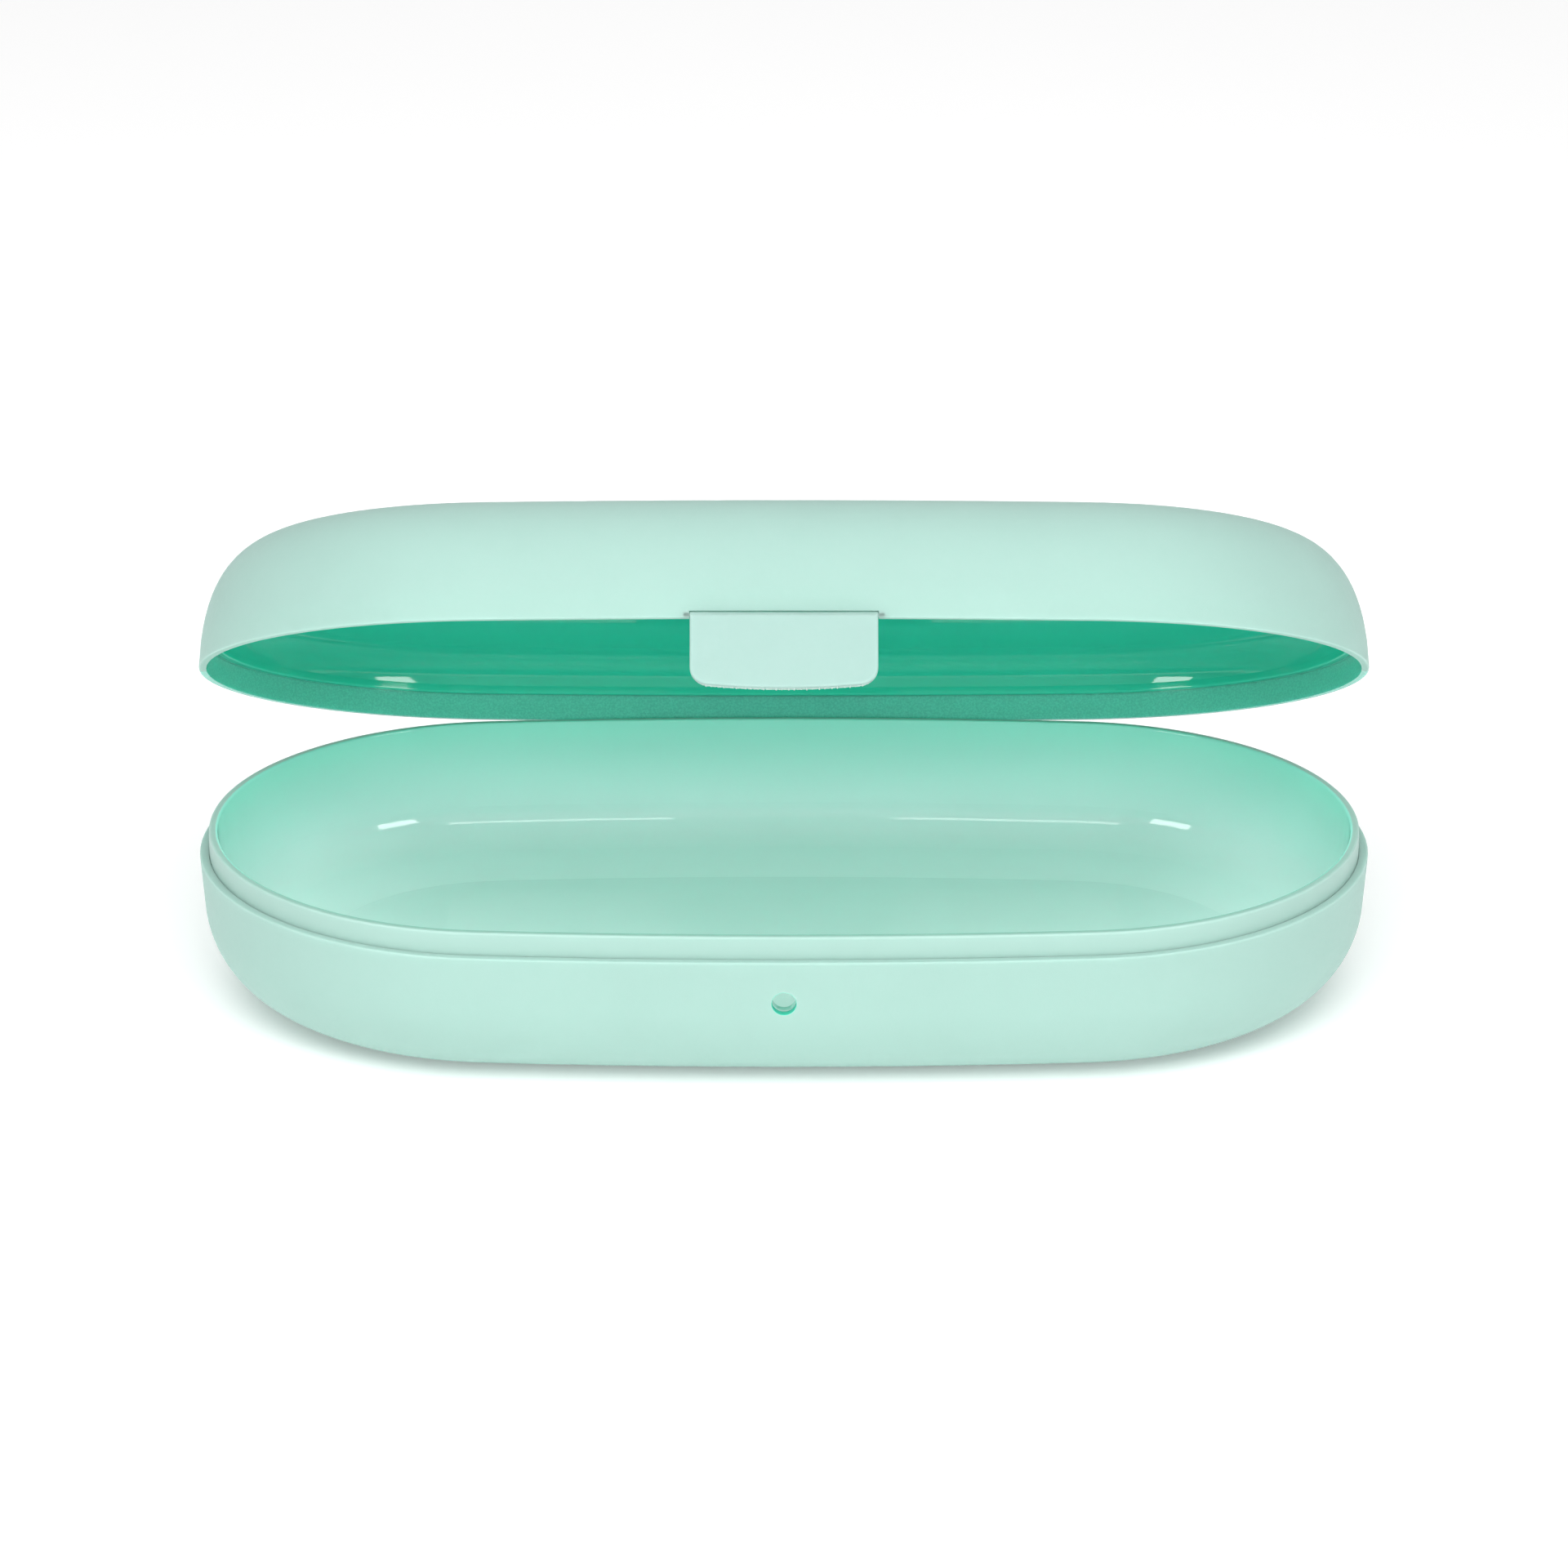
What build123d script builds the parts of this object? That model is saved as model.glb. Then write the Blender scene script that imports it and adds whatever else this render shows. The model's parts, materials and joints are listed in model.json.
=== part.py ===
from build123d import *
import math
import os

# Toothbrush sanitizer: an oval, double-walled case on its base, with its hinged lid part open.
# Millimetres. X runs along the case, -Y is the front, +Z is up.
# The origin is the middle of the flat underside.
# Walls are drawn as sections: "inset" is the distance in from the ledge's outline,
# and "height" is the height above the ledge.

# Oval outline of the ledge and of the lid's rim: two round ends joined by long, slightly bowed sides
HALF_LENGTH = 100.0
HALF_DEPTH = 53.7
END_RADIUS = 51.9
END_CENTRE = HALF_LENGTH - END_RADIUS
SIDE_RADIUS = (END_CENTRE**2 + HALF_DEPTH**2 - END_RADIUS**2) / (2 * (HALF_DEPTH - END_RADIUS))
SIDE_CENTRE = SIDE_RADIUS - HALF_DEPTH
SIDE_ANGLE = math.degrees(math.atan2(END_CENTRE, SIDE_CENTRE))

# Base
BASE_DEPTH = 25.3
BASE_DRAFT = 0.087
BASE_STRAIGHT = 9.6
BASE_BOTTOM_INSET = 22.3
LEDGE = 1.6
LIP_HEIGHT = 4.0
LIP_WALL = 1.5
FLOOR_HEIGHT = -19.2
FLOOR_INSET = 19.6
TRAY_WALL_FOOT = (5.0, -16.1)
TRAY_CORNER = 7.0
SHELL_WALL = 1.55

# Lid
LID_HEIGHT = 22.7
LID_TOP_INSET = 17.9
LID_DRAFT = 0.036
LID_RIM_WALL = 1.28
REBATE_HEIGHT = 4.3
CEILING_HEIGHT = 15.2
CEILING_INSET = 22.0
LID_WALL_FOOT = (3.8, 10.45)
LID_CORNER = 7.0
LINER_WALL = 1.3
LINER_TOP = CEILING_HEIGHT + LINER_WALL
CAVITY_TOP = LID_HEIGHT - SHELL_WALL
PLATE_INSET = 24.0

# Rear hinge
HINGE_Y = HALF_DEPTH + 4.4
KNUCKLE_RADIUS = 2.9
PIN_RADIUS = 1.0
RUNNING_CLEARANCE = 0.05
LID_KNUCKLE_HALF = 15.0
KNUCKLE_GAP = 0.3
HINGE_HALF = 26.0
LID_OPEN_ANGLE = 29.9

# Snap tab and catch hole
TAB_WIDTH = 31.2
TAB_THICKNESS = 1.5
TAB_TOP = 0.35
TAB_BOTTOM = -12.1
TAB_BOTTOM_BOW = 0.9
TAB_CORNER = 3.0
TAB_GAP = 0.3
BARREL_RADIUS = 0.5
BARREL_Y = -HALF_DEPTH + 0.64
BARREL_Z = 0.55
STUB_RADIUS = 0.35
STUB_LENGTH = 0.8
NOTCH_HEIGHT = 1.2
CATCH_HEIGHT = -7.6
CATCH_RADIUS = 2.05
NUB_RADIUS = 1.6
NUB_REACH = 2.3

# Electronics in the lid's cavity
BOARD_THICKNESS = 1.0
BOARD_GAP = 1.4
BOARD_TOP = LINER_TOP + BOARD_GAP + BOARD_THICKNESS
BOARD_BOTTOM = LINER_TOP + BOARD_GAP
LED_POSITIONS = (-62.0, -32.0, 32.0, 62.0)
LED_BOARD_SIZE = (46.0, 12.0)
LED_BOARD_X = 47.0
CONTROL_BOARD_X = 18.0
CONTROL_BOARD_Y = (-12.0, 41.0)
WINDOW_RADIUS = 4.5
WINDOW_THICKNESS = 0.8
WINDOW_BORE = 3.8
SENSOR_Y = 9.0
BUTTON_RADIUS = 5.0
BUTTON_BORE = 5.3
BUTTON_TRAVEL = 0.4
FLANGE_THICKNESS = 0.6
SWITCH_TOP = BOARD_TOP + 1.0
STATUS_LENS_Y = -9.5
STATUS_LENS_RADIUS = 1.25
PORT_Y = 43.5
PORT_HEIGHT = CAVITY_TOP - 1.7
SOCKET_DEPTH = 7.3
SOCKET_SIZE = (8.9, 3.2)
BATTERY_SIZE = (40.0, 22.0, 3.6)
BATTERY_CENTRE = (-42.0, 20.0)
TAPE_THICKNESS = 0.3
LEAD_RADIUS = 0.4
LEAD_OVERLAP = 1.0
POST_RADIUS = 2.4
SCREW_RADIUS = 0.8
SCREW_HEAD_RADIUS = 1.5
SCREW_HEAD_HEIGHT = 0.9
LED_HALF_WIDTH = 1.9
LED_BODY_HEIGHT = 0.8
LED_LENS_RADIUS = 1.3
LED_POSTS = [(-56.0, 0), (-39.0, 0), (39.0, 0), (56.0, 0)]
CONTROL_POSTS = [(-13.0, -7), (13.0, -7), (-13.0, 30), (13.0, 30)]


def at(inset, height):
    """Point of a wall section, drawn in the XZ plane with the outline at X = 0."""
    return (-inset, 0, height)


def level_end(start, end, lean, start_pull, end_pull):
    """Curve of a wall section that starts with a lean (inset per height) and ends level."""
    rise = end[1] - start[1]
    run = end[0] - start[0]
    first = at(start[0] + lean * abs(start_pull * rise), start[1] + start_pull * rise)
    second = at(end[0] - end_pull * run, end[1])
    return Bezier(at(*start), first, second, at(*end))


def section_face(*edges):
    """Closed section from its edges, joined in order."""
    return Face(Wire([edge.edge() for edge in edges]))


def lines(*points):
    """Straight edges through section points."""
    return [Line(at(*a), at(*b)) for a, b in zip(points, points[1:])]


def rounded(start, corner, end, radius):
    """Two straight edges that meet in a corner of this radius."""
    before = (Vector(*start) - Vector(*corner)).normalized()
    after = (Vector(*end) - Vector(*corner)).normalized()
    half_angle = math.radians(before.get_angle(after)) / 2
    touch = radius / math.tan(half_angle)
    first = Vector(*corner) + before * touch
    second = Vector(*corner) + after * touch
    to_centre = (before + after).normalized()
    middle = Vector(*corner) + to_centre * (radius / math.sin(half_angle) - radius)
    arc = ThreePointArc(at(first.X, first.Y), at(middle.X, middle.Y), at(second.X, second.Y))
    return [*lines(start, (first.X, first.Y)), arc, *lines((second.X, second.Y), end)]


def carried_round(section):
    """Wall with this section all the way round the oval: four arcs, each turned about its own centre."""
    end_sweep = 180 - 2 * SIDE_ANGLE
    side_sweep = 2 * SIDE_ANGLE
    arcs = [
        ((END_CENTRE, 0), END_RADIUS, -end_sweep / 2, end_sweep),
        ((0, -SIDE_CENTRE), SIDE_RADIUS, 90 - SIDE_ANGLE, side_sweep),
        ((-END_CENTRE, 0), END_RADIUS, 180 - end_sweep / 2, end_sweep),
        ((0, SIDE_CENTRE), SIDE_RADIUS, 270 - SIDE_ANGLE, side_sweep),
    ]
    pieces = []
    for centre, radius, start, sweep in arcs:
        piece = revolve(Pos(radius, 0, 0) * section, axis=Axis.Z, revolution_arc=sweep)
        pieces.append(Pos(*centre, 0) * Rot(0, 0, start) * piece)
    return pieces[0].fuse(*pieces[1:])


def oval(inset):
    """Flat oval, this far inside the ledge's outline."""
    end = END_RADIUS - inset
    side = SIDE_RADIUS - inset
    join = math.radians(90 - SIDE_ANGLE)
    x = END_CENTRE + end * math.cos(join)
    y = end * math.sin(join)
    arcs = [
        ThreePointArc((x, -y), (END_CENTRE + end, 0), (x, y)),
        ThreePointArc((x, y), (0, side - SIDE_CENTRE), (-x, y)),
        ThreePointArc((-x, y), (-END_CENTRE - end, 0), (-x, -y)),
        ThreePointArc((-x, -y), (0, SIDE_CENTRE - side), (x, -y)),
    ]
    return Face(Wire([arc.edge() for arc in arcs]))


def oval_plate(inset, low, high):
    """Flat plate with an oval outline, between two heights."""
    return Pos(0, 0, low) * extrude(oval(inset), high - low)


def cylinder(radius, low, high, x=0.0, y=0.0):
    """Upright cylinder between two heights."""
    return Pos(x, y, (low + high) / 2) * Cylinder(radius, high - low)


def block(x_range, y_range, z_range):
    """Box from its three ranges."""
    size = [high - low for low, high in (x_range, y_range, z_range)]
    middle = [(high + low) / 2 for low, high in (x_range, y_range, z_range)]
    return Pos(*middle) * Box(*size)


def rod_along_x(radius, x_low, x_high, y, z):
    """Cylinder lying along the case."""
    return Pos((x_low + x_high) / 2, y, z) * Rot(0, 90, 0) * Cylinder(radius, x_high - x_low)


def web_along_x(x_low, x_high, outline):
    """Block lying along the case, with this outline of (y, z) points."""
    face = Plane.YZ * Polygon(*outline, align=None)
    return Pos((x_low + x_high) / 2, 0, 0) * extrude(face, (x_high - x_low) / 2, both=True)


def one_solid(shape):
    """The cleaned shape as a single solid."""
    return shape.clean().solid()


def open_lid(shape):
    """Turn a lid piece from its closed place to the part-open rest pose."""
    hinge = Axis((0, HINGE_Y, 0), (-1, 0, 0))
    return shape.rotate(hinge, LID_OPEN_ANGLE)


def outer_base_section():
    """Section of the base's outer wall, from the ledge down to the edge of the flat bottom plate."""
    bottom = -BASE_DEPTH
    turn = (BASE_STRAIGHT * BASE_DRAFT, -BASE_STRAIGHT)
    outside = level_end(turn, (BASE_BOTTOM_INSET, bottom), BASE_DRAFT, 0.17, 0.887)
    inner_turn = (turn[0] + SHELL_WALL, turn[1])
    inner_bottom = bottom + SHELL_WALL
    inside = level_end(inner_turn, (BASE_BOTTOM_INSET + 0.6, inner_bottom), BASE_DRAFT, 0.18, 0.897)
    edge = 0.35
    ledge_round = Bezier(at(edge, 0), at(0, 0), at(edge * BASE_DRAFT, -edge))
    return section_face(
        ledge_round,
        *lines((edge * BASE_DRAFT, -edge), turn),
        outside,
        *lines(
            (BASE_BOTTOM_INSET, bottom), (PLATE_INSET, bottom), (PLATE_INSET, inner_bottom),
            (BASE_BOTTOM_INSET + 0.6, inner_bottom),
        ),
        inside,
        *lines(inner_turn, (SHELL_WALL, 0), (edge, 0)),
    )


def base_hinge_lugs():
    """The base's pair of knuckles, each on a web from the rear wall."""
    lugs = []
    for side in (-1, 1):
        low, high = sorted((side * (LID_KNUCKLE_HALF + KNUCKLE_GAP), side * HINGE_HALF))
        knuckle = rod_along_x(KNUCKLE_RADIUS, low, high, HINGE_Y, 0)
        web = web_along_x(low, high, [
            (HINGE_Y - KNUCKLE_RADIUS * 0.9, 0.9), (HINGE_Y + KNUCKLE_RADIUS * 0.7, -2.0),
            (HALF_DEPTH - 1.8, -9.5), (HALF_DEPTH - 1.2, -0.6), (HALF_DEPTH + 0.4, -0.6),
        ])
        lugs.append(knuckle.fuse(web))
    return lugs


def catch_hole(y_low, y_high):
    """Round hole through the front wall for the tab's nub."""
    drill = Rot(90, 0, 0) * Cylinder(CATCH_RADIUS, y_high - y_low)
    return Pos(0, (y_low + y_high) / 2, CATCH_HEIGHT) * drill


def make_base_shell():
    """Matte outer half of the base, with the ledge, the catch hole and the hinge knuckles."""
    shell = carried_round(outer_base_section())
    shell = shell.fuse(oval_plate(PLATE_INSET, -BASE_DEPTH, -BASE_DEPTH + SHELL_WALL))
    cavity = oval_plate(LEDGE + 1.2, -12.0, 0)
    for lug in base_hinge_lugs():
        shell = shell.fuse(lug - cavity)
    support = oval_plate(FLOOR_INSET + 6, -BASE_DEPTH + SHELL_WALL, FLOOR_HEIGHT - LIP_WALL)
    support -= oval_plate(FLOOR_INSET + 7.5, -BASE_DEPTH + SHELL_WALL, FLOOR_HEIGHT - LIP_WALL)
    shell = shell.fuse(support)
    pin_bore = rod_along_x(PIN_RADIUS, -HINGE_HALF, HINGE_HALF, HINGE_Y, 0)
    return one_solid(shell - pin_bore - catch_hole(-HALF_DEPTH - 3, -HALF_DEPTH + 6))


def make_base_liner():
    """Glossy inner tray, whose top stands proud of the ledge as the lip."""
    lip_inset = LEDGE + LIP_WALL
    outer = LEDGE + 0.02
    edge = 0.4
    under = FLOOR_HEIGHT - LIP_WALL
    foot_inset, foot_height = TRAY_WALL_FOOT
    outer_foot = (foot_inset - 1.4, foot_height - 1.25)
    inside = rounded((lip_inset, LIP_HEIGHT - edge), TRAY_WALL_FOOT, (FLOOR_INSET, FLOOR_HEIGHT), TRAY_CORNER)
    outside = rounded((outer, 0), outer_foot, (FLOOR_INSET, under), TRAY_CORNER + LIP_WALL)
    section = section_face(
        Bezier(at(outer + edge, LIP_HEIGHT), at(outer, LIP_HEIGHT), at(outer, LIP_HEIGHT - edge)),
        *lines((outer, LIP_HEIGHT - edge), (outer, 0)),
        *outside,
        *lines(
            (FLOOR_INSET, under), (PLATE_INSET, under), (PLATE_INSET, FLOOR_HEIGHT),
            (FLOOR_INSET, FLOOR_HEIGHT),
        ),
        *reversed(inside),
        Bezier(
            at(lip_inset, LIP_HEIGHT - edge), at(lip_inset, LIP_HEIGHT), at(lip_inset - edge, LIP_HEIGHT),
        ),
        *lines((lip_inset - edge, LIP_HEIGHT), (outer + edge, LIP_HEIGHT)),
    )
    liner = carried_round(section).fuse(oval_plate(PLATE_INSET, under, FLOOR_HEIGHT))
    return one_solid(liner - catch_hole(-HALF_DEPTH + 0.5, -HALF_DEPTH + 9))


def make_hinge_pin():
    """Steel pin, tight in the base's knuckles and free in the lid's."""
    return rod_along_x(PIN_RADIUS, -HINGE_HALF, HINGE_HALF, HINGE_Y, 0)


def outer_lid_section():
    """Section of the lid's outer wall, from the rim up to the edge of the flat top plate."""
    top_edge = (LID_TOP_INSET, LID_HEIGHT)
    outside = level_end((0.03, 0.3), top_edge, LID_DRAFT, 0.573, 0.741)
    inner_start = (LID_RIM_WALL + 0.55, REBATE_HEIGHT)
    inside = level_end(inner_start, (LID_TOP_INSET + 0.5, CAVITY_TOP), 0.08, 0.5, 0.735)
    return section_face(
        *lines((LID_RIM_WALL, 0), (0.3, 0)),
        Bezier(at(0.3, 0), at(0, 0), at(0.03, 0.3)),
        outside,
        *lines(
            top_edge, (PLATE_INSET, LID_HEIGHT), (PLATE_INSET, CAVITY_TOP), (LID_TOP_INSET + 0.5, CAVITY_TOP),
        ),
        inside,
        *lines(inner_start, (LID_RIM_WALL, REBATE_HEIGHT), (LID_RIM_WALL, 0)),
    )


def lid_hinge_lug():
    """The lid's middle knuckle, on a web from the rear wall."""
    knuckle = rod_along_x(KNUCKLE_RADIUS, -LID_KNUCKLE_HALF, LID_KNUCKLE_HALF, HINGE_Y, 0)
    web = web_along_x(-LID_KNUCKLE_HALF, LID_KNUCKLE_HALF, [
        (HINGE_Y - KNUCKLE_RADIUS * 0.9, -0.9), (HINGE_Y + KNUCKLE_RADIUS * 0.7, 2.0),
        (HALF_DEPTH - 1.2, 8.5), (HALF_DEPTH - 1.0, 0.6), (HALF_DEPTH + 0.4, 0.6),
    ])
    return knuckle.fuse(web)


def tab_notch():
    """Space in the lid's front rim for the tab's barrel, with a small bore at each end for its stubs."""
    half = TAB_WIDTH / 2 + 0.1
    notch = block((-half, half), (-HALF_DEPTH - 1, -HALF_DEPTH + 2), (-1, NOTCH_HEIGHT))
    reach = half + STUB_LENGTH + 0.1
    bores = rod_along_x(STUB_RADIUS + RUNNING_CLEARANCE, -reach, reach, BARREL_Y, BARREL_Z)
    return notch.fuse(bores)


def slot_along_y(width, height, y_low, y_high):
    """Round-ended bar at the charging port's height, running front to back."""
    face = Plane.XZ * SlotOverall(width, height)
    return Pos(0, (y_low + y_high) / 2, PORT_HEIGHT) * extrude(face, (y_high - y_low) / 2, both=True)


def port_opening():
    """Opening through the lid's rear slope for a charging plug."""
    return slot_along_y(SOCKET_SIZE[0] + 1.4, SOCKET_SIZE[1] + 1.2, PORT_Y - SOCKET_DEPTH - 1, PORT_Y + 12)


def make_lid_shell():
    """Matte outer half of the lid, with its knuckle, tab notch, charging port and button bore."""
    shell = carried_round(outer_lid_section())
    shell = shell.fuse(oval_plate(PLATE_INSET, CAVITY_TOP, LID_HEIGHT))
    shell = shell.fuse(lid_hinge_lug() - oval_plate(LID_RIM_WALL, 0, 9))
    bore = rod_along_x(PIN_RADIUS + RUNNING_CLEARANCE, -LID_KNUCKLE_HALF, LID_KNUCKLE_HALF, HINGE_Y, 0)
    shell = shell - bore - tab_notch() - port_opening()
    shell -= cylinder(BUTTON_BORE, CAVITY_TOP - 1, LID_HEIGHT + 1)
    shell -= cylinder(STATUS_LENS_RADIUS, CAVITY_TOP - 1, LID_HEIGHT + 1, 0, STATUS_LENS_Y)
    return one_solid(shell)


def make_lid_liner():
    """Glossy inner half of the lid, with the lamp windows' seats and the boards' posts on its back."""
    start = (LID_RIM_WALL + 0.6, REBATE_HEIGHT)
    inner_start = (start[0] + LINER_WALL, REBATE_HEIGHT)
    edge = 0.35
    foot_inset, foot_height = LID_WALL_FOOT
    outer_foot = (foot_inset - 1.22, foot_height + 1.0)
    outside = rounded(start, outer_foot, (CEILING_INSET, LINER_TOP), LID_CORNER + LINER_WALL)
    inside = rounded(
        (inner_start[0], REBATE_HEIGHT + edge), LID_WALL_FOOT, (CEILING_INSET, CEILING_HEIGHT), LID_CORNER,
    )
    section = section_face(
        *lines(start, (inner_start[0] - edge, REBATE_HEIGHT)),
        Bezier(
            at(inner_start[0] - edge, REBATE_HEIGHT), at(*inner_start),
            at(inner_start[0], REBATE_HEIGHT + edge),
        ),
        *inside,
        *lines(
            (CEILING_INSET, CEILING_HEIGHT), (PLATE_INSET, CEILING_HEIGHT), (PLATE_INSET, LINER_TOP),
            (CEILING_INSET, LINER_TOP),
        ),
        *outside,
    )
    liner = carried_round(section).fuse(oval_plate(PLATE_INSET, CEILING_HEIGHT, LINER_TOP))
    for x, y in LED_POSTS + CONTROL_POSTS:
        liner = liner.fuse(cylinder(POST_RADIUS, LINER_TOP, BOARD_BOTTOM, x, y))
        liner -= cylinder(SCREW_RADIUS, LINER_TOP - 0.6, BOARD_BOTTOM, x, y)
    for x, y in window_places():
        liner -= cylinder(WINDOW_BORE, CEILING_HEIGHT - 1, LINER_TOP, x, y)
        liner -= cylinder(WINDOW_RADIUS, LINER_TOP - WINDOW_THICKNESS, LINER_TOP, x, y)
    return one_solid(liner)


def window_places():
    """Centres of the four lamp windows, then of the light sensor's window."""
    return [(x, 0) for x in LED_POSITIONS] + [(0, SENSOR_Y)]


def make_window(x, y):
    """Clear disc in its seat, under a lamp or the sensor."""
    return cylinder(WINDOW_RADIUS, LINER_TOP - WINDOW_THICKNESS, LINER_TOP, x, y)


def make_uv_led(x):
    """Square lamp package with a small domed lens, face down under its board."""
    half = LED_HALF_WIDTH
    low = BOARD_BOTTOM - LED_BODY_HEIGHT
    package = block((x - half, x + half), (-half, half), (low, BOARD_BOTTOM))
    lens = Pos(x, 0, low) * Sphere(LED_LENS_RADIUS)
    lens = lens & block((x - half, x + half), (-half, half), (low - 0.55, low + 0.3))
    return one_solid(package.fuse(lens))


def drilled(board, places):
    """Board with a screw hole at each place."""
    for x, y in places:
        board -= cylinder(1.0, BOARD_BOTTOM, BOARD_TOP, x, y)
    return one_solid(board)


def make_led_board(side):
    """Strip that carries two lamps on one side of the lid."""
    half_x, half_y = LED_BOARD_SIZE[0] / 2, LED_BOARD_SIZE[1] / 2
    centre = side * LED_BOARD_X
    board = block((centre - half_x, centre + half_x), (-half_y, half_y), (BOARD_BOTTOM, BOARD_TOP))
    return drilled(board, [place for place in LED_POSTS if place[0] * side > 0])


def make_control_board():
    """Main board, from under the button back to the charging socket."""
    x = CONTROL_BOARD_X
    board = block((-x, x), CONTROL_BOARD_Y, (BOARD_BOTTOM, BOARD_TOP))
    notch = SOCKET_SIZE[0] / 2 + 0.1
    board -= block((-notch, notch), (PORT_Y - SOCKET_DEPTH - 0.1, PORT_Y), (BOARD_BOTTOM - 1, BOARD_TOP + 1))
    return drilled(board, CONTROL_POSTS)


def make_screws(places):
    """Pan-head screws that hold a board to its posts."""
    screws = []
    for x, y in places:
        head_top = BOARD_TOP + SCREW_HEAD_HEIGHT
        shank = cylinder(SCREW_RADIUS, LINER_TOP - 0.5, BOARD_TOP, x, y)
        head = cylinder(SCREW_HEAD_RADIUS, BOARD_TOP, head_top, x, y)
        recess = Pos(x, y, head_top - 0.2) * Box(1.8, 0.4, 0.5).fuse(Box(0.4, 1.8, 0.5))
        screws.append(one_solid(shank.fuse(head) - recess))
    return Compound(children=screws)


def make_usb_socket():
    """Charging socket: a rounded steel shell with its tongue, sunk in the rear edge of the main board."""
    wall = 0.3
    back = PORT_Y - SOCKET_DEPTH
    shell = slot_along_y(*SOCKET_SIZE, back, PORT_Y)
    shell -= slot_along_y(SOCKET_SIZE[0] - 2 * wall, SOCKET_SIZE[1] - 2 * wall, back + 1, PORT_Y + 1)
    tongue = block((-3.3, 3.3), (back + 0.9, PORT_Y - 1.4), (PORT_HEIGHT - 0.35, PORT_HEIGHT + 0.35))
    return one_solid(shell.fuse(tongue))


def make_power_switch():
    """Small push switch on the board, just under the button."""
    body = block((-2.2, 2.2), (-2.2, 2.2), (BOARD_TOP, BOARD_TOP + 0.6))
    return one_solid(body.fuse(cylinder(1.0, BOARD_TOP + 0.6, SWITCH_TOP)))


def make_power_button():
    """Dished round cap in the lid's top, with a flange that stops it from falling out."""
    flange_low = SWITCH_TOP + BUTTON_TRAVEL + 0.05
    top = LID_HEIGHT + 0.5
    cap = cylinder(BUTTON_RADIUS, flange_low, top)
    cap = fillet(cap.edges().group_by(Axis.Z)[-1], 0.25)
    flange = cylinder(BUTTON_RADIUS + 1.2, flange_low, flange_low + FLANGE_THICKNESS)
    dish = Pos(0, 0, top + 29.75) * Sphere(30)
    return one_solid(cap.fuse(flange) - dish)


def make_status_lens():
    """Light pipe from the status lamp to the lid's top."""
    return cylinder(STATUS_LENS_RADIUS, BOARD_TOP + 0.75, LID_HEIGHT, 0, STATUS_LENS_Y)


def make_status_led():
    """Small lamp on the board under the light pipe."""
    y = STATUS_LENS_Y
    return block((-0.8, 0.8), (y - 0.8, y + 0.8), (BOARD_TOP, BOARD_TOP + 0.7))


def make_light_sensor():
    """Sensor under the board that sees through its window whether the case is closed and dark."""
    return block((-1.5, 1.5), (SENSOR_Y - 1.5, SENSOR_Y + 1.5), (BOARD_BOTTOM - 0.9, BOARD_BOTTOM))


def make_battery():
    """Flat pouch cell with rounded long edges, taped to the liner's back."""
    length, width, height = BATTERY_SIZE
    low = LINER_TOP + TAPE_THICKNESS
    cell = Pos(*BATTERY_CENTRE, low + height / 2) * Box(length, width, height)
    return one_solid(fillet(cell.edges().filter_by(Axis.X), 1.2))


def make_battery_tape():
    """Foam tape between the cell and the liner."""
    length, width = BATTERY_SIZE[0] - 6, BATTERY_SIZE[1] - 6
    return Pos(*BATTERY_CENTRE, LINER_TOP + TAPE_THICKNESS / 2) * Box(length, width, TAPE_THICKNESS)


def make_lead(x_low, x_high, y):
    """Pair of short wires that bridge two pieces on top of the boards."""
    z = BOARD_TOP + LEAD_RADIUS
    return Compound(children=[rod_along_x(LEAD_RADIUS, x_low, x_high, y + side * 0.9, z) for side in (-1, 1)])


def make_latch_tab():
    """Snap tab: a plate on a barrel in the lid's rim, with the nub that enters the catch hole."""
    inner_y = -HALF_DEPTH - TAB_GAP
    half = TAB_WIDTH / 2
    side_end = TAB_BOTTOM + TAB_BOTTOM_BOW
    outline = section_face(
        Line((-half, TAB_TOP), (half, TAB_TOP)),
        Line((half, TAB_TOP), (half, side_end)),
        ThreePointArc((half, side_end), (0, TAB_BOTTOM), (-half, side_end)),
        Line((-half, side_end), (-half, TAB_TOP)),
    )
    plate = extrude(Plane.XZ * outline, TAB_THICKNESS / 2, both=True)
    plate = Pos(0, inner_y - TAB_THICKNESS / 2, 0) * plate
    corners = [e for e in plate.edges().filter_by(Axis.Y) if e.center().Z < TAB_BOTTOM / 2]
    plate = fillet(corners, TAB_CORNER)
    front = plate.faces().sort_by(Axis.Y)[0]
    plate = fillet(front.edges(), 0.5)
    barrel = rod_along_x(BARREL_RADIUS, -half, half, BARREL_Y, BARREL_Z)
    neck = block((-half + 0.5, half - 0.5), (inner_y - 0.4, BARREL_Y), (BARREL_Z - BARREL_RADIUS, TAB_TOP))
    stubs = rod_along_x(STUB_RADIUS, -half - STUB_LENGTH, half + STUB_LENGTH, BARREL_Y, BARREL_Z)
    tab = plate.fuse(barrel, neck, stubs)
    nub = Pos(0, inner_y - 0.3 + (NUB_REACH + 0.3) / 2, CATCH_HEIGHT) * Rot(90, 0, 0)
    nub = nub * Cylinder(NUB_RADIUS, NUB_REACH + 0.3)
    nub = fillet(nub.edges().sort_by(Axis.Y)[-1], 0.9)
    return one_solid(tab.fuse(nub))


def base_nodes():
    """Pieces of the base, in place."""
    return {
        "base_shell": make_base_shell(),
        "base_liner": make_base_liner(),
        "hinge_pin": make_hinge_pin(),
    }


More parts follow.
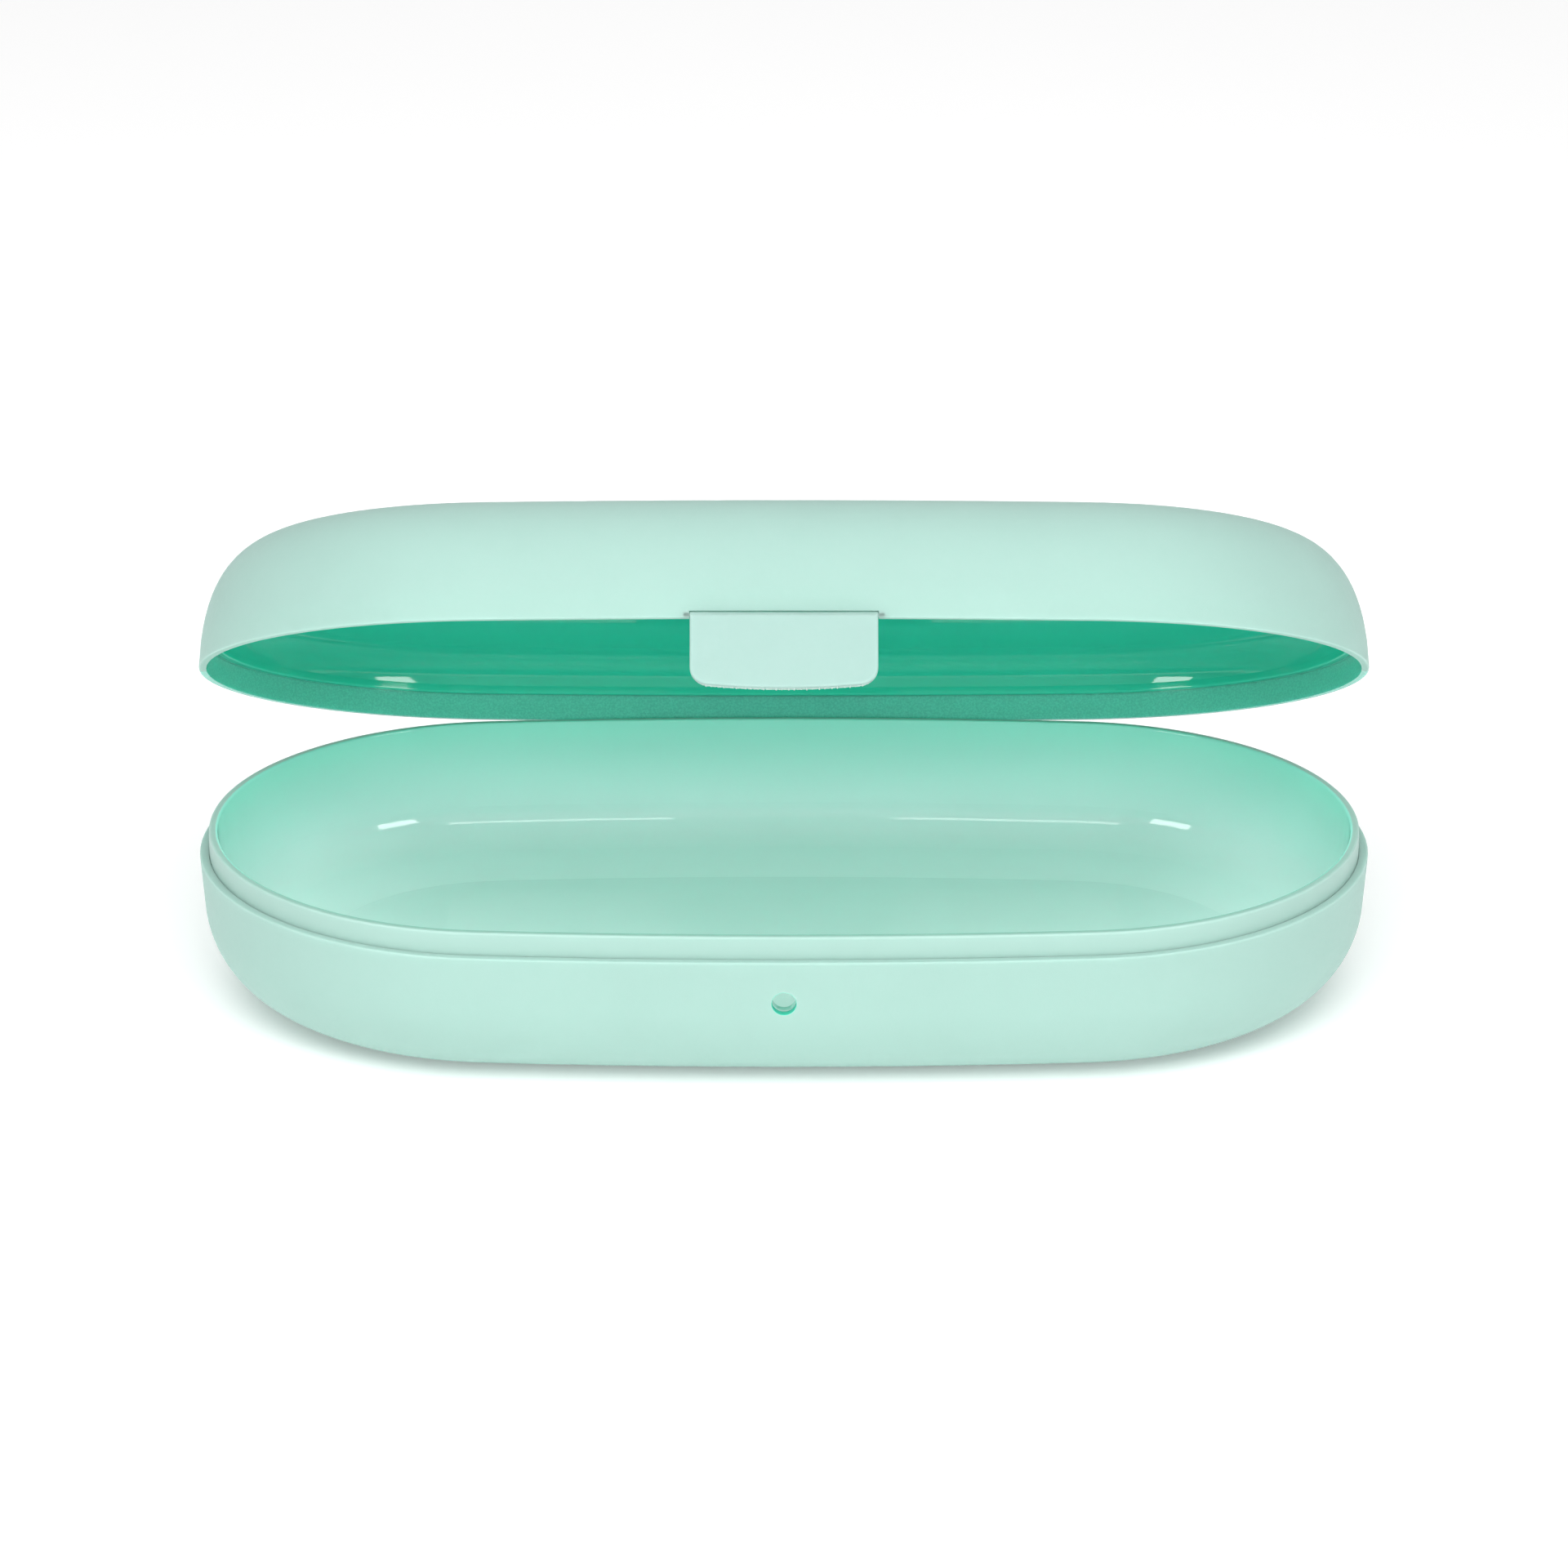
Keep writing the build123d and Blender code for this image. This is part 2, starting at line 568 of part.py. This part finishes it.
def lid_nodes():
    """Pieces that ride on the lid, in their closed places."""
    control_end = CONTROL_BOARD_X - LEAD_OVERLAP
    led_end = LED_BOARD_X - LED_BOARD_SIZE[0] / 2 + LEAD_OVERLAP
    battery_end = BATTERY_CENTRE[0] + BATTERY_SIZE[0] / 2
    nodes = {
        "lid_shell": make_lid_shell(),
        "lid_liner": make_lid_liner(),
        "latch_tab": make_latch_tab(),
        "power_button": make_power_button(),
        "power_switch": make_power_switch(),
        "control_board": make_control_board(),
        "control_board_screws": make_screws(CONTROL_POSTS),
        "led_board_left": make_led_board(-1),
        "led_board_right": make_led_board(1),
        "led_board_screws": make_screws(LED_POSTS),
        "led_lead_left": make_lead(-led_end, -control_end, 4),
        "led_lead_right": make_lead(control_end, led_end, 4),
        "battery_cell": make_battery(),
        "battery_tape": make_battery_tape(),
        "battery_lead": make_lead(battery_end, -control_end, 14),
        "usb_socket": make_usb_socket(),
        "status_led": make_status_led(),
        "status_lens": make_status_lens(),
        "light_sensor": make_light_sensor(),
        "sensor_window": make_window(0, SENSOR_Y),
    }
    for number, x in enumerate(LED_POSITIONS, start=1):
        nodes[f"uv_led_{number}"] = make_uv_led(x)
        nodes[f"lamp_window_{number}"] = make_window(x, 0)
    return nodes


def main():
    """Write every piece, with the underside at height 0."""
    os.makedirs("parts", exist_ok=True)
    nodes = base_nodes()
    for name, shape in lid_nodes().items():
        nodes[name] = open_lid(shape)
    for name, shape in nodes.items():
        export_step(Pos(0, 0, BASE_DEPTH) * shape, f"parts/{name}.step")


main()
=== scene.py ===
import bpy
import json
import math
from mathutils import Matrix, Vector


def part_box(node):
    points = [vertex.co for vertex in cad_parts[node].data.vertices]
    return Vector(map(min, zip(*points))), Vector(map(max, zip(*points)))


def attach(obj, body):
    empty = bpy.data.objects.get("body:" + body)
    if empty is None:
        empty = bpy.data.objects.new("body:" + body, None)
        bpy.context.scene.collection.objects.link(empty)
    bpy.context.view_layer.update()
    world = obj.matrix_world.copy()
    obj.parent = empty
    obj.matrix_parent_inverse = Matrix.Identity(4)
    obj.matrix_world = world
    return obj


# Looks for the toothbrush sanitizer: materials on the CAD nodes, flash on the tab, a white studio, a camera.
# Lengths are in metres, in the frame of the CAD model.

MM = 0.001
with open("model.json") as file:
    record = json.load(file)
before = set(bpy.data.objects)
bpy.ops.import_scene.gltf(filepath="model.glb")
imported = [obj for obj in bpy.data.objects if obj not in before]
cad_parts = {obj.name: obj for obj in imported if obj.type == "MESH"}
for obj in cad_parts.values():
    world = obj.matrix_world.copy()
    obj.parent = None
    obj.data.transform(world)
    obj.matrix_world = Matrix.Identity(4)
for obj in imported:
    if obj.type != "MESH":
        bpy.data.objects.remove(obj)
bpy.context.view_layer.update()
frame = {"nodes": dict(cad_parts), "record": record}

# Places read from the frame
LID_HINGE = next(j for j in frame["record"]["behaviour"]["joints"] if j["name"] == "lid_hinge")
HINGE = Vector(LID_HINGE["pos_m"])
CLOSED_ANGLE = LID_HINGE["range_deg"][0]
LIP_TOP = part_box("base_liner")[1][2]
TRAY_FLOOR = LIP_TOP - 23.2 * MM
HALF_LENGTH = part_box("base_shell")[1][0]
HALF_DEPTH = -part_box("base_shell")[0][1]
END_RADIUS = HALF_DEPTH - 1.8 * MM
END_CENTRE = HALF_LENGTH - END_RADIUS
LIP_BAND = 4.2 * MM

# Catch hole, with its painted shade reaching a little wider than its bore, and the tab with the lid closed
CATCH_CENTRE = HINGE.z - 7.6 * MM
CATCH_RADIUS = 2.12 * MM
TAB_HALF = 15.6 * MM
TAB_LOW = HINGE.z - 12.1 * MM
TAB_MIDDLE = -HALF_DEPTH - 1.0 * MM
TAB_CORNER = 3.0 * MM
TAB_BOW = 0.9 * MM

# Flash bead along the tab's lower edge: its steps, its thinnest size and how much thicker it gets
FLASH_STEPS = 240
FLASH_SIDES = 8
FLASH_THIN = 0.14 * MM
FLASH_SWELL = 0.24 * MM
FLASH_FLATNESS = 1.6

# Camera: a long lens a little above the case
CAMERA_ELEVATION = 21.0
CAMERA_DISTANCE = 1.693
CAMERA_LENS = 227.1
CAMERA_RAISE = 6.82 * MM

# Lights: powers in watts, and the surround's strength to the front and to the sides
SOFTBOX_PLACE = (0.985, -0.95, 0.37)
SOFTBOX_AIM = (0, 0, 0.05)
SOFTBOX_SIZE = (0.42, 0.36)
SOFTBOX_POWER = 4.6
TOP_PLACE = (0, -0.86, 1.05)
TOP_AIM = (0, 0, 0.03)
TOP_SIZE = (1.3, 0.8)
TOP_POWER = 14.0
SURROUND_FRONT = 0.70
SURROUND_SIDE = 0.25
FLOOR_RADIUS = 4.0
FLOOR_GLOW = 0.14

# Plastic colours, as linear light; the bore, tray, lip-top, lid-liner and rebate colours are lit and shaded
# copies of the mint: painted light and painted shade
MINT = (0.338, 0.515, 0.462)
MINT_TAB = (0.335, 0.49, 0.45)
# Painted shade: dark green on the catch hole's wall, for the shade inside the hole
BORE_PAINTED_SHADE = (0.07, 0.52, 0.38)
MINT_FLASH = (0.42, 0.58, 0.53)
# Painted light: the tray's inside is the same mint painted far lighter, for the light falling into the tray
TRAY_PAINTED_LIGHT = (0.77, 0.93, 0.90)
# Painted shade: darker, deeper mint at the lip top, where the lid overhangs the tray
LIP_TOP_PAINTED_SHADE = (0.35, 0.78, 0.67)
# Painted shade: the lid's hollow is the same mint painted dark and deep green, for the shade inside it
LID_LINER_PAINTED_SHADE = (0.03, 0.55, 0.38)
# Painted shade: deep green on the lid's inner walls and its rear rim's underside, for the shade there
REBATE_PAINTED_SHADE = (0.13, 0.55, 0.44)

# Light that soaks into the plastic and comes out nearby
GLOW = {"Subsurface_Weight": 0.6, "Subsurface_Scale": 2.0 * MM, "Subsurface_Radius": (1.0, 1.0, 1.0)}


class Shader:
    """A Principled material with short helpers for its procedural nodes."""

    def __init__(self, name, **values):
        self.material = bpy.data.materials.new(name)
        self.material.use_nodes = True
        self.nodes = self.material.node_tree.nodes
        self.links = self.material.node_tree.links
        self.surface = self.nodes["Principled BSDF"]
        self.coordinates = self.nodes.new("ShaderNodeTexCoord")
        for socket, value in values.items():
            self.surface.inputs[socket.replace("_", " ")].default_value = value

    def link(self, source, target):
        """Connect an output to an input."""
        self.links.new(source, target)

    def noise(self, scale, detail=3.0, roughness=0.5, stretch=(1, 1, 1)):
        """Noise over the object's own coordinates; scale is in cycles per metre."""
        mapping = self.nodes.new("ShaderNodeMapping")
        mapping.inputs["Scale"].default_value = stretch
        texture = self.nodes.new("ShaderNodeTexNoise")
        texture.inputs["Scale"].default_value = scale
        texture.inputs["Detail"].default_value = detail
        texture.inputs["Roughness"].default_value = roughness
        self.link(self.coordinates.outputs["Object"], mapping.inputs["Vector"])
        self.link(mapping.outputs["Vector"], texture.inputs["Vector"])
        return texture.outputs["Fac"]

    def ramp(self, source, low, high, start=0.3, end=0.7):
        """Map a 0 to 1 value onto a range, between two stops."""
        node = self.nodes.new("ShaderNodeMapRange")
        for socket, value in zip(("From Min", "From Max", "To Min", "To Max"), (start, end, low, high)):
            node.inputs[socket].default_value = value
        self.link(source, node.inputs["Value"])
        return node.outputs["Result"]

    def mix(self, factor, first, second):
        """Blend two colours or colour outputs."""
        node = self.nodes.new("ShaderNodeMix")
        node.data_type = "RGBA"
        self.link(factor, node.inputs["Factor"])
        for socket, colour in (("A", first), ("B", second)):
            target = next(i for i in node.inputs if i.name == socket and i.type == "RGBA")
            if isinstance(colour, (tuple, list)):
                target.default_value = (*colour, 1)
            else:
                self.link(colour, target)
        return next(o for o in node.outputs if o.type == "RGBA")

    def bump(self, height, depth, strength=1.0, under=None):
        """Bump of this depth in metres, over another bump if one is given."""
        node = self.nodes.new("ShaderNodeBump")
        node.inputs["Distance"].default_value = depth
        node.inputs["Strength"].default_value = strength
        self.link(height, node.inputs["Height"])
        if under is not None:
            self.link(under, node.inputs["Normal"])
        return node.outputs["Normal"]

    def math(self, operation, first, second):
        """One maths step on numbers or outputs."""
        node = self.nodes.new("ShaderNodeMath")
        node.operation = operation
        for socket, value in zip(node.inputs, (first, second)):
            if isinstance(value, (int, float)):
                socket.default_value = value
            else:
                self.link(value, socket)
        return node.outputs["Value"]

    def into(self, **outputs):
        """Feed outputs into the surface's sockets."""
        for socket, output in outputs.items():
            self.link(output, self.surface.inputs[socket.replace("_", " ")])
        return self


def tinted(colour, factor):
    """The colour made darker or lighter."""
    return tuple(min(1.0, channel * factor) for channel in colour)


def closed_place_and_normal(shader, angle):
    """Coordinates and normal turned about the hinge by this angle, as separate X, Y and Z outputs."""
    turned = []
    for name in ("Object", "Normal"):
        rotate = shader.nodes.new("ShaderNodeVectorRotate")
        rotate.rotation_type = "X_AXIS"
        rotate.inputs["Angle"].default_value = math.radians(angle)
        if name == "Object":
            rotate.inputs["Center"].default_value = HINGE
        shader.link(shader.coordinates.outputs[name], rotate.inputs["Vector"])
        split = shader.nodes.new("ShaderNodeSeparateXYZ")
        shader.link(rotate.outputs["Vector"], split.inputs["Vector"])
        turned.append(split.outputs)
    return turned


def outwardness(shader, place, normal):
    """How far a surface leans away from the oval's middle line, in metres; negative on inner walls."""
    nearest = shader.math("MINIMUM", shader.math("MAXIMUM", place["X"], -END_CENTRE), END_CENTRE)
    along = shader.math("MULTIPLY", shader.math("SUBTRACT", place["X"], nearest), normal["X"])
    across = shader.math("MULTIPLY", place["Y"], normal["Y"])
    return shader.math("ADD", along, across)


def facing_inside(shader):
    """1 on the rim and on walls that face the lid's hollow, 0 on its outside; these take the painted shade.
    """
    place, normal = closed_place_and_normal(shader, -CLOSED_ANGLE)
    inner = shader.math("LESS_THAN", outwardness(shader, place, normal), -0.001)
    rim = shader.math("LESS_THAN", normal["Z"], -0.6)
    rear = shader.math("GREATER_THAN", place["Y"], 0.0)
    return shader.math("MAXIMUM", inner, shader.math("MULTIPLY", rim, rear))


def lip_outside(shader):
    """1 on the outer face and the crown of the tray's lip, 0 inside the tray."""
    place, normal = closed_place_and_normal(shader, 0)
    outside = shader.math("GREATER_THAN", outwardness(shader, place, normal), -0.006)
    high = shader.math("GREATER_THAN", place["Z"], LIP_TOP - LIP_BAND)
    return shader.math("MULTIPLY", outside, high)


def bore_shade_mask(shader):
    """1 within the radius of the catch hole, which only its own wall reaches; there the bore takes its
    painted shade.
    """
    place = closed_place_and_normal(shader, 0)[0]
    drop = shader.math("SUBTRACT", place["Z"], CATCH_CENTRE)
    square = shader.math("ADD", shader.math("POWER", place["X"], 2.0), shader.math("POWER", drop, 2.0))
    near = shader.math("LESS_THAN", square, CATCH_RADIUS**2)
    return shader.math("MULTIPLY", near, shader.math("LESS_THAN", place["Y"], 0.0))


def matte_mint(name, tint=MINT, inside=False, bore=False):
    """Outer mouldings: fine spark-eroded grain, soft sheen, faint mottling; with inside, painted shade in the
    lid's hollow and on its rear rim, with bore, painted shade in the catch hole.
    """
    shader = Shader(name, IOR=1.49, Specular_IOR_Level=0.2, **GLOW)
    mottle = shader.ramp(shader.noise(60, 4), 0, 1)
    colour = shader.mix(mottle, tinted(tint, 0.985), tinted(tint, 1.01))
    rough = shader.ramp(shader.noise(900, 3), 0.55, 0.65)
    if inside:
        # Painted shade on the lid's inner walls and rear rim, randomly speckled, and glossier there
        mask = facing_inside(shader)
        speckle = shader.ramp(shader.noise(3000, 2, 0.7), 0, 1, 0.4, 0.62)
        rebate_painted_shade = shader.mix(speckle, tinted(REBATE_PAINTED_SHADE, 0.97), tinted(REBATE_PAINTED_SHADE, 1.15))
        colour = shader.mix(mask, colour, rebate_painted_shade)
        rough = shader.math("SUBTRACT", rough, shader.math("MULTIPLY", mask, 0.42))
    # Painted shade in the catch hole's bore
    if bore:
        colour = shader.mix(bore_shade_mask(shader), colour, BORE_PAINTED_SHADE)
    grain = shader.bump(shader.noise(2600, 4, 0.6), 0.02 * MM, 0.6)
    swell = shader.bump(shader.noise(22, 2), 0.12 * MM, 0.5, grain)
    return shader.into(Base_Color=colour, Roughness=rough, Normal=swell).material


def gloss_mint(name, colour, lip=False):
    """Inner mouldings: polished, with a slight ripple from the tool and faint smears; the colour given is
    painted light or painted shade, and with lip the tray darkens towards the lip top in painted shade.
    """
    shader = Shader(name, IOR=1.49, **GLOW)
    mottle = shader.ramp(shader.noise(45, 3), 0, 1)
    shade = shader.mix(mottle, tinted(colour, 0.98), tinted(colour, 1.01))
    if lip:
        # Painted shade: the tray's colour darkens and deepens with height towards the lip top, under the lid
        height = closed_place_and_normal(shader, 0)[0]["Z"]
        shade = shader.mix(shader.ramp(height, 0, 1, TRAY_FLOOR, LIP_TOP), shade, LIP_TOP_PAINTED_SHADE)
    smear = shader.ramp(shader.noise(110, 5, 0.6, (1, 3, 1)), 0.03, 0.07)
    if lip:
        mask = lip_outside(shader)
        shade = shader.mix(mask, shade, MINT)
        smear = shader.math("ADD", smear, shader.math("MULTIPLY", mask, 0.4))
    ripple = shader.bump(shader.noise(55, 2), 0.04 * MM, 0.4)
    return shader.into(Base_Color=shade, Roughness=smear, Normal=ripple).material


def steel(name, colour, stretch):
    """Drawn or pressed steel with fine lines along the stretch."""
    shader = Shader(name, Metallic=1.0)
    lines = shader.noise(3000, 3, 0.6, stretch)
    shade = shader.mix(shader.ramp(lines, 0, 1), tinted(colour, 0.85), colour)
    rough = shader.ramp(lines, 0.24, 0.40)
    return shader.into(Base_Color=shade, Roughness=rough, Normal=shader.bump(lines, 0.01 * MM, 0.5)).material


def moulded(name, colour, rough=(0.45, 0.6)):
    """Plain moulded, foamed or fired stuff with grain and mottling."""
    shader = Shader(name, IOR=1.47)
    mottle = shader.ramp(shader.noise(400, 4), 0, 1)
    shade = shader.mix(mottle, tinted(colour, 0.88), tinted(colour, 1.05))
    roughness = shader.ramp(shader.noise(1500, 3), *rough)
    return shader.into(
        Base_Color=shade, Roughness=roughness, Normal=shader.bump(shader.noise(4000, 3), 0.01 * MM, 0.6),
    ).material


def board(name):
    """Solder resist over faint copper tracks."""
    shader = Shader(name, IOR=1.5, Coat_Weight=0.4, Coat_Roughness=0.15)
    tracks = shader.nodes.new("ShaderNodeTexBrick")
    tracks.inputs["Scale"].default_value = 260
    tracks.inputs["Mortar Size"].default_value = 0.03
    shader.link(shader.coordinates.outputs["Object"], tracks.inputs["Vector"])
    copper = shader.ramp(tracks.outputs["Fac"], 0, 1, 0, 1)
    shade = shader.mix(copper, (0.012, 0.10, 0.045), (0.03, 0.17, 0.08))
    rough = shader.ramp(shader.noise(1500), 0.3, 0.42)
    return shader.into(Base_Color=shade, Roughness=rough, Normal=shader.bump(copper, 0.03 * MM, 0.5)).material


def foil(name):
    """Creased aluminium pouch."""
    shader = Shader(name, Metallic=1.0)
    creases = shader.noise(350, 5, 0.65)
    shade = shader.mix(shader.ramp(creases, 0, 1), (0.55, 0.55, 0.56), (0.74, 0.74, 0.75))
    rough = shader.ramp(shader.noise(900), 0.28, 0.42)
    wrinkles = shader.bump(creases, 0.15 * MM, 0.6)
    return shader.into(Base_Color=shade, Roughness=rough, Normal=wrinkles).material


def clear(name):
    """Clear window, faintly smeared."""
    shader = Shader(name, IOR=1.46, Transmission_Weight=1.0)
    smear = shader.noise(250, 4, 0.6)
    shade = shader.mix(shader.ramp(smear, 0, 1), (0.93, 0.97, 0.97), (0.98, 1.0, 1.0))
    rough = shader.ramp(smear, 0.02, 0.10)
    return shader.into(Base_Color=shade, Roughness=rough).material


def dress(materials):
    """Give each CAD node the material of its slot."""
    slots = {part["node"]: part["material_slot"] for part in frame["record"]["subparts"]}
    for node, obj in frame["nodes"].items():
        material = materials.get(node) or materials[slots[node]]
        for slot in obj.material_slots:
            slot.material = material


def opened(point):
    """A place of the closed lid, turned to where the open lid carries it."""
    angle = math.radians(CLOSED_ANGLE)
    across, up = point.y - HINGE.y, point.z - HINGE.z
    return Vector((
        point.x,
        HINGE.y + across * math.cos(angle) - up * math.sin(angle),
        HINGE.z + across * math.sin(angle) + up * math.cos(angle),
    ))


def tab_edge(count):
    """Places along the tab's lower edge, from one rounded corner round to the other, lid closed."""
    straight = TAB_HALF - TAB_CORNER
    places = []
    for i in range(count + 1):
        across = -TAB_HALF + 2 * TAB_HALF * i / count
        beyond = max(0.0, abs(across) - straight)
        rise = TAB_CORNER - math.sqrt(max(0.0, TAB_CORNER**2 - beyond**2))
        places.append(Vector((across, TAB_MIDDLE, TAB_LOW + TAB_BOW * (across / TAB_HALF) ** 2 + rise)))
    return places


def flash_size(step):
    """Half the bead's thickness at this step along the edge, uneven but the same every time."""
    ragged = 0.5 + 0.5 * math.sin(step * 0.41) * math.sin(step * 0.173 + 1.0) * math.cos(step * 1.37)
    return FLASH_THIN + FLASH_SWELL * ragged**2


def flash_mesh():
    """Closed tube of uneven thickness along the tab's lower edge, where the open lid holds it."""
    vertices, faces = [], []
    for step, place in enumerate(tab_edge(FLASH_STEPS)):
        size = flash_size(step)
        for side in range(FLASH_SIDES):
            turn = 2 * math.pi * side / FLASH_SIDES
            offset = Vector((0, FLASH_FLATNESS * size * math.cos(turn), size * math.sin(turn)))
            vertices.append(opened(place + offset))
    for step in range(FLASH_STEPS):
        here, beyond = step * FLASH_SIDES, (step + 1) * FLASH_SIDES
        for side in range(FLASH_SIDES):
            after = (side + 1) % FLASH_SIDES
            faces.append((here + side, here + after, beyond + after, beyond + side))
    faces.append(tuple(range(FLASH_SIDES - 1, -1, -1)))
    faces.append(tuple(FLASH_STEPS * FLASH_SIDES + side for side in range(FLASH_SIDES)))
    mesh = bpy.data.meshes.new("tab_flash")
    mesh.from_pydata(vertices, [], faces)
    for polygon in mesh.polygons:
        polygon.use_smooth = True
    return mesh


def make_flash():
    """Thin ragged bead of flash along the tab's lower edge."""
    mesh = flash_mesh()
    flash = bpy.data.objects.new("tab_flash", mesh)
    bpy.context.collection.objects.link(flash)
    mesh.materials.append(matte_mint("outer_mint_flash", MINT_FLASH))
    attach(flash, "latch")


def make_floor():
    """Plain white floor."""
    bpy.ops.mesh.primitive_circle_add(vertices=128, radius=FLOOR_RADIUS, fill_type="NGON", location=(0, 0, 0))
    floor = bpy.context.object
    floor.name = "floor"
    shader = Shader(
        "floor_white", Specular_IOR_Level=0.1, Emission_Color=(1, 1, 1, 1), Emission_Strength=FLOOR_GLOW,
    )
    shade = shader.mix(shader.ramp(shader.noise(3), 0, 1), (0.97, 0.97, 0.97), (0.985, 0.985, 0.985))
    rough = shader.ramp(shader.noise(40), 0.85, 0.95)
    shader.into(Base_Color=shade, Roughness=rough)
    floor.data.materials.append(shader.material)


def softbox(name, place, aim, size, power):
    """Rectangular light that faces a point."""
    light = bpy.data.lights.new(name, "AREA")
    light.shape = "RECTANGLE"
    light.size, light.size_y = size
    light.energy = power
    lamp = bpy.data.objects.new(name, light)
    lamp.location = place
    lamp.rotation_euler = (Vector(aim) - Vector(place)).to_track_quat("-Z", "Y").to_euler()
    bpy.context.collection.objects.link(lamp)


def make_surround():
    """White surround, darker at the sides so that the case's ends stand out."""
    world = bpy.data.worlds.new("studio")
    world.use_nodes = True
    nodes, links = world.node_tree.nodes, world.node_tree.links
    background = nodes["Background"]
    background.inputs["Color"].default_value = (1, 1, 1, 1)
    split = nodes.new("ShaderNodeSeparateXYZ")
    links.new(nodes.new("ShaderNodeTexCoord").outputs["Generated"], split.inputs["Vector"])
    sideways = nodes.new("ShaderNodeMath")
    sideways.operation = "ABSOLUTE"
    links.new(split.outputs["X"], sideways.inputs[0])
    fall = nodes.new("ShaderNodeMapRange")
    stops = (0.3, 0.9, SURROUND_FRONT, SURROUND_SIDE)
    for socket, value in zip(("From Min", "From Max", "To Min", "To Max"), stops):
        fall.inputs[socket].default_value = value
    links.new(sideways.outputs["Value"], fall.inputs["Value"])
    links.new(fall.outputs["Result"], background.inputs["Strength"])
    bpy.context.scene.world = world


def make_lights():
    """A softbox each side of the camera, and a large one overhead."""
    across, forward, height = SOFTBOX_PLACE
    for side in (-1, 1):
        softbox(f"softbox_{side}", (side * across, forward, height), SOFTBOX_AIM, SOFTBOX_SIZE, SOFTBOX_POWER)
    softbox("top", TOP_PLACE, TOP_AIM, TOP_SIZE, TOP_POWER)


def make_camera():
    """Camera in front of the case, looking down on it."""
    angle = math.radians(CAMERA_ELEVATION)
    back = Vector((0, -math.cos(angle), math.sin(angle)))
    up = Vector((0, math.sin(angle), math.cos(angle)))
    data = bpy.data.cameras.new("camera")
    data.sensor_width = 36
    data.lens = CAMERA_LENS
    camera = bpy.data.objects.new("camera", data)
    camera.location = Vector((0, 0, LIP_TOP)) + back * CAMERA_DISTANCE + up * CAMERA_RAISE
    camera.rotation_euler = (math.radians(90) - angle, 0, 0)
    bpy.context.collection.objects.link(camera)
    bpy.context.scene.camera = camera


dress({
    "outer_plastic": matte_mint("outer_mint", bore=True),
    "lid_shell": matte_mint("outer_mint_lid", inside=True),
    "latch_tab": matte_mint("outer_mint_tab", MINT_TAB),
    # Tray inside in painted light, darkening to painted shade towards the lip top
    "inner_plastic": gloss_mint("inner_mint", TRAY_PAINTED_LIGHT, lip=True),
    # Lid liner in painted shade
    "lid_liner": gloss_mint("inner_mint_lid", LID_LINER_PAINTED_SHADE),
    "button_plastic": moulded("button_mint", (0.78, 0.92, 0.87), (0.3, 0.42)),
    "pin_steel": steel("pin_steel", (0.62, 0.61, 0.60), (0.05, 1, 1)),
    "screw_steel": steel("screw_steel", (0.55, 0.55, 0.57), (1, 1, 1)),
    "socket_steel": steel("socket_steel", (0.66, 0.66, 0.67), (1, 0.1, 1)),
    "black_plastic": moulded("black_plastic", (0.022, 0.022, 0.022)),
    "board_laminate": board("board_green"),
    "lead_sleeve": moulded("lead_red", (0.42, 0.025, 0.02), (0.35, 0.5)),
    "cell_foil": foil("cell_foil"),
    "foam_tape": moulded("foam_black", (0.04, 0.04, 0.04), (0.85, 0.95)),
    "lamp_body": moulded("lamp_ceramic", (0.80, 0.78, 0.68), (0.4, 0.55)),
    "clear_lens": clear("clear_window"),
})
make_flash()
make_floor()
make_surround()
make_lights()
make_camera()
bpy.context.scene.view_settings.view_transform = "Standard"
